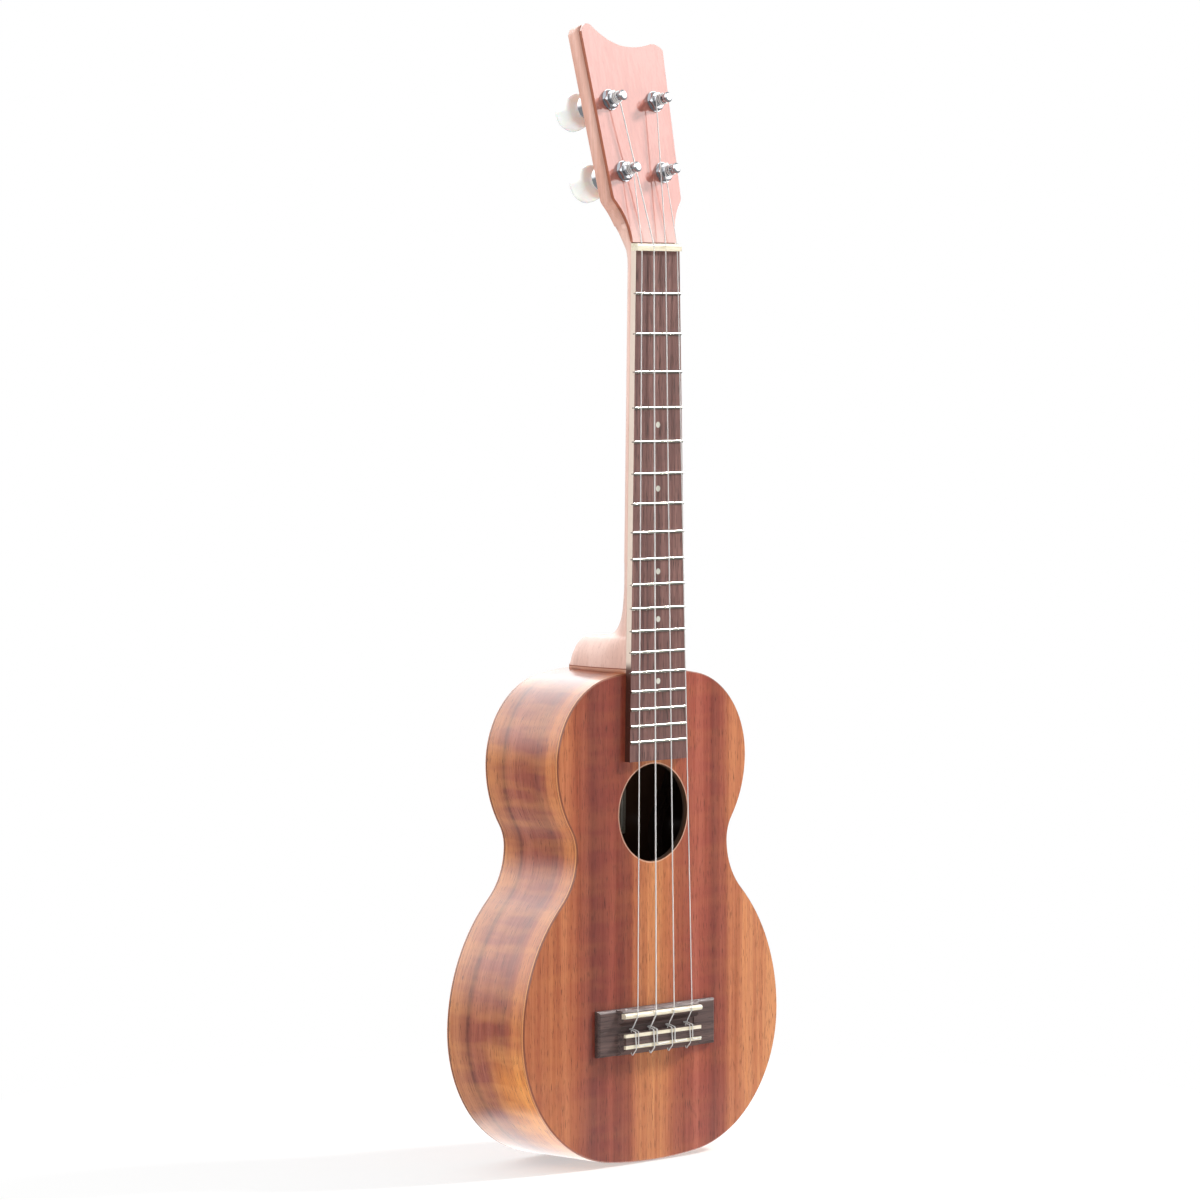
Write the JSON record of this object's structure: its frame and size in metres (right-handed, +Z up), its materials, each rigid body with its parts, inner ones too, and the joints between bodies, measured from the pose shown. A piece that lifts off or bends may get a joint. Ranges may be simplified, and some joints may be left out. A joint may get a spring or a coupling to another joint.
{
  "type": "ukulele",
  "caption": "Small four-string fretted instrument with a hollow waisted body, round soundhole, tie bridge, long neck and a leaned-back headstock with rear-facing tuning pegs.",
  "frame": {"origin": "lowest point of the body's outline on the centre line, at half of the mean body depth", "axes": "+Z up the neck towards the headstock, +X to the right as the soundboard is seen, soundboard facing -Y"},
  "size_m": [0.2092, 0.0741, 0.6496],
  "materials": {
    "koa_gloss": "gloss lacquer over figured koa",
    "koa_neck": "satin koa",
    "rosewood": "open-pored, oiled",
    "bone": "polished bone",
    "nickel_silver": "polished",
    "pearl": "pearly",
    "paper": "matt paper",
    "inner_wood": "bare, sanded",
    "chrome": "mirror",
    "nylon": "clear monofilament"
  },
  "bodies": {
    "instrument": {"back_brace_lower": "inner_wood", "back_brace_middle": "inner_wood", "back_brace_upper": "inner_wood", "back_plate": "koa_gloss", "bridge": "rosewood", "bridge_plate": "inner_wood", "fan_brace_bass": "inner_wood", "fan_brace_centre": "inner_wood", "fan_brace_treble": "inner_wood", "fretboard": "rosewood", "frets": "nickel_silver", "headplate": "koa_gloss", "housing_a": "chrome", "housing_c": "chrome", "housing_e": "chrome", "housing_g": "chrome", "label": "paper", "lining_back_bass": "inner_wood", "lining_back_treble": "inner_wood", "lining_top_bass": "inner_wood", "lining_top_treble": "inner_wood", "neck": "koa_neck", "neck_block": "inner_wood", "nut": "bone", "position_dots": "pearl", "saddle": "bone", "side_bass": "koa_gloss", "side_treble": "koa_gloss", "soundboard": "koa_gloss", "soundhole_ring": "inner_wood", "string_a": "nylon", "string_c": "nylon", "string_e": "nylon", "string_g": "nylon", "tail_block": "inner_wood", "tie_strip_front": "bone", "tie_strip_rear": "bone", "top_brace_lower": "inner_wood", "top_brace_upper": "inner_wood", "tuner_hex_nuts": "chrome", "tuner_washers": "chrome"},
    "peg_button_g": {"button_g": "pearl", "shaft_g": "chrome"},
    "peg_post_g": {"post_g": "chrome"},
    "peg_button_c": {"button_c": "pearl", "shaft_c": "chrome"},
    "peg_post_c": {"post_c": "chrome"},
    "peg_button_e": {"button_e": "pearl", "shaft_e": "chrome"},
    "peg_post_e": {"post_e": "chrome"},
    "peg_button_a": {"button_a": "pearl", "shaft_a": "chrome"},
    "peg_post_a": {"post_a": "chrome"}
  },
  "joints": [
    {"name": "tune_g", "type": "hinge", "parent": "instrument", "child": "peg_button_g", "pos_m": [-0.016, -0.00198, 0.5609], "axis": [0, -0.9763, 0.2164], "continuous": true},
    {"name": "wind_g", "type": "hinge", "parent": "instrument", "child": "peg_post_g", "pos_m": [-0.016, -0.02737, 0.56653], "axis": [0, -0.9763, 0.2164], "continuous": true},
    {"name": "tune_c", "type": "hinge", "parent": "instrument", "child": "peg_button_c", "pos_m": [-0.0183, 0.00705, 0.60161], "axis": [0, -0.9763, 0.2164], "continuous": true},
    {"name": "wind_c", "type": "hinge", "parent": "instrument", "child": "peg_post_c", "pos_m": [-0.0183, -0.01834, 0.60724], "axis": [0, -0.9763, 0.2164], "continuous": true},
    {"name": "tune_e", "type": "hinge", "parent": "instrument", "child": "peg_button_e", "pos_m": [0.0183, 0.00705, 0.60161], "axis": [0, -0.9763, 0.2164], "continuous": true},
    {"name": "wind_e", "type": "hinge", "parent": "instrument", "child": "peg_post_e", "pos_m": [0.0183, -0.01834, 0.60724], "axis": [0, -0.9763, 0.2164], "continuous": true},
    {"name": "tune_a", "type": "hinge", "parent": "instrument", "child": "peg_button_a", "pos_m": [0.016, -0.00198, 0.5609], "axis": [0, -0.9763, 0.2164], "continuous": true},
    {"name": "wind_a", "type": "hinge", "parent": "instrument", "child": "peg_post_a", "pos_m": [0.016, -0.02737, 0.56653], "axis": [0, -0.9763, 0.2164], "continuous": true}
  ],
  "couplings": [
    {"joint": "wind_g", "follows": "tune_g", "ratio": 0.25},
    {"joint": "wind_c", "follows": "tune_c", "ratio": 0.25},
    {"joint": "wind_e", "follows": "tune_e", "ratio": 0.25},
    {"joint": "wind_a", "follows": "tune_a", "ratio": 0.25}
  ]
}
